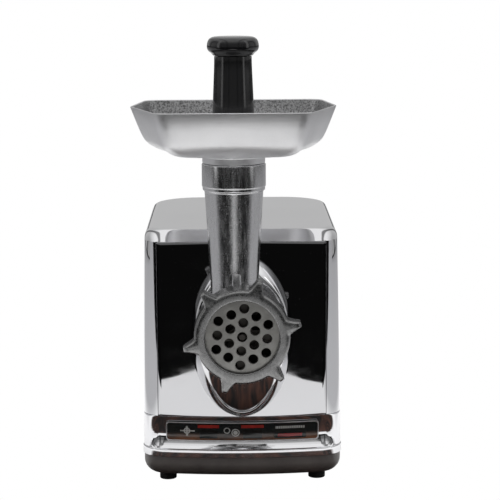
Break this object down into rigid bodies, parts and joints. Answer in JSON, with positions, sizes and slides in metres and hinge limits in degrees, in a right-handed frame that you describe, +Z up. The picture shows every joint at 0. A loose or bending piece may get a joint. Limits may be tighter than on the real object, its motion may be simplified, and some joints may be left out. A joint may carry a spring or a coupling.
{
  "type": "electric meat grinder",
  "caption": "Chromed kitchen meat grinder: boxy motor housing, bayonet grinding head with lugged ring nut and perforated plate, feed tube, hopper tray and pusher.",
  "frame": {"origin": "bottom centre of the whole machine's bounding box, on the surface that the feet stand on", "axes": "+Z up, -Y the front where the minced food comes out, +X to the right seen from the front; the auger's axis is along Y"},
  "size_m": [0.1674, 0.3366, 0.368],
  "materials": {
    "chrome": "bright chrome plating",
    "mirror_panel": "polished mirror chrome",
    "label_black": "gloss black printed insert",
    "dark_plastic": "dark warm grey satin plastic",
    "black_gloss": "gloss black plastic",
    "black_plastic": "satin black plastic",
    "rubber": "matt black rubber",
    "cast_metal": "polished cast aluminium",
    "nut_metal": "satin cast aluminium",
    "tray_metal": "satin stamped aluminium",
    "plate_steel": "ground steel",
    "steel": "machined steel",
    "lamination": "stacked electrical steel",
    "copper": "enamelled copper",
    "nylon": "moulded nylon",
    "board_green": "green circuit board"
  },
  "bodies": {
    "housing": {"housing_shell": "chrome", "front_panel": "mirror_panel", "socket_escutcheon": "chrome", "front_band": "chrome", "label_insert": "label_black", "base_pan": "dark_plastic", "foot_front_left": "rubber", "foot_front_right": "rubber", "foot_rear_left": "rubber", "foot_rear_right": "rubber", "base_screw_front_left": "steel", "base_screw_front_right": "steel", "base_screw_rear_left": "steel", "base_screw_rear_right": "steel", "rear_vent_grille": "black_plastic", "cord_gland": "black_plastic", "control_plate": "black_plastic", "switch_body": "black_plastic", "control_board": "board_green", "head_socket": "nylon", "first_axle": "steel", "second_axle": "steel", "gearbox_case": "cast_metal", "gearbox_cover": "cast_metal", "output_bearing": "steel", "field_core": "lamination", "field_coil_upper": "copper", "field_coil_lower": "copper", "motor_front_bracket": "cast_metal", "motor_rear_bracket": "cast_metal", "motor_front_bearing": "steel", "motor_rear_bearing": "steel", "brush_holder_left": "black_plastic", "brush_holder_right": "black_plastic"},
    "motor": {"motor_shaft": "steel", "armature_core": "lamination", "commutator": "copper", "cooling_fan": "black_plastic"},
    "first_gear": {"first_reduction_gear": "steel"},
    "second_gear": {"second_reduction_gear": "steel"},
    "drive": {"output_gear": "steel", "output_shaft": "steel", "auger": "cast_metal", "auger_coupling": "nylon", "thrust_washer": "nylon", "cutting_blade": "steel"},
    "head": {"grinder_body": "cast_metal"},
    "plate": {"perforated_plate": "plate_steel"},
    "nut": {"ring_nut": "nut_metal"},
    "tray": {"tray": "tray_metal"},
    "pusher": {"pusher_stem": "black_gloss", "pusher_cap": "black_gloss"},
    "power_button": {"power_button": "black_gloss"},
    "reverse_button": {"reverse_button": "black_gloss"},
    "head_release": {"lock_plate": "steel", "release_button": "black_gloss"}
  },
  "joints": [
    {"name": "head_turn", "type": "hinge", "parent": "housing", "child": "head", "pos_m": [0.00185, -0.1437, 0.1404], "axis": [0, 1, 0], "range_deg": [0, 40]},
    {"name": "plate_slide", "type": "slide", "parent": "head", "child": "plate", "axis": [0, -1, 0], "range_m": [0, 0.0092]},
    {"name": "ring_nut_turn", "type": "hinge", "parent": "plate", "child": "nut", "pos_m": [0.00185, -0.1437, 0.1404], "axis": [0, -1, 0], "range_deg": [0, 1080]},
    {"name": "tray_lift", "type": "slide", "parent": "head", "child": "tray", "axis": [0, 0, 1], "range_m": [0, 0.04]},
    {"name": "pusher_slide", "type": "slide", "parent": "tray", "child": "pusher", "axis": [0, 0, 1], "range_m": [0, 0.13]},
    {"name": "auger_spin", "type": "hinge", "parent": "housing", "child": "drive", "pos_m": [0.00185, -0.1437, 0.1404], "axis": [0, 1, 0], "continuous": true},
    {"name": "second_gear_spin", "type": "hinge", "parent": "housing", "child": "second_gear", "pos_m": [-0.03099, -0.0264, 0.11565], "axis": [0, 1, 0], "continuous": true},
    {"name": "first_gear_spin", "type": "hinge", "parent": "housing", "child": "first_gear", "pos_m": [-0.02339, -0.0164, 0.08728], "axis": [0, 1, 0], "continuous": true},
    {"name": "motor_spin", "type": "hinge", "parent": "housing", "child": "motor", "pos_m": [-0.00118, 0.0275, 0.09323], "axis": [0, 1, 0], "continuous": true},
    {"name": "power_button_slide", "type": "slide", "parent": "housing", "child": "power_button", "axis": [-1, 0, 0], "range_m": [0, 0.003], "stiffness_N_per_m": 400},
    {"name": "reverse_button_slide", "type": "slide", "parent": "housing", "child": "reverse_button", "axis": [-1, 0, 0], "range_m": [0, 0.003], "stiffness_N_per_m": 400},
    {"name": "head_release_slide", "type": "slide", "parent": "housing", "child": "head_release", "axis": [-1, 0, 0], "range_m": [0, 0.004], "stiffness_N_per_m": 500}
  ],
  "couplings": [
    {"joint": "plate_slide", "follows": "ring_nut_turn", "m_per_rad": 0.00047746},
    {"joint": "second_gear_spin", "follows": "auger_spin", "ratio": -3.2727},
    {"joint": "first_gear_spin", "follows": "auger_spin", "ratio": 10.711},
    {"joint": "motor_spin", "follows": "auger_spin", "ratio": -38.559}
  ]
}
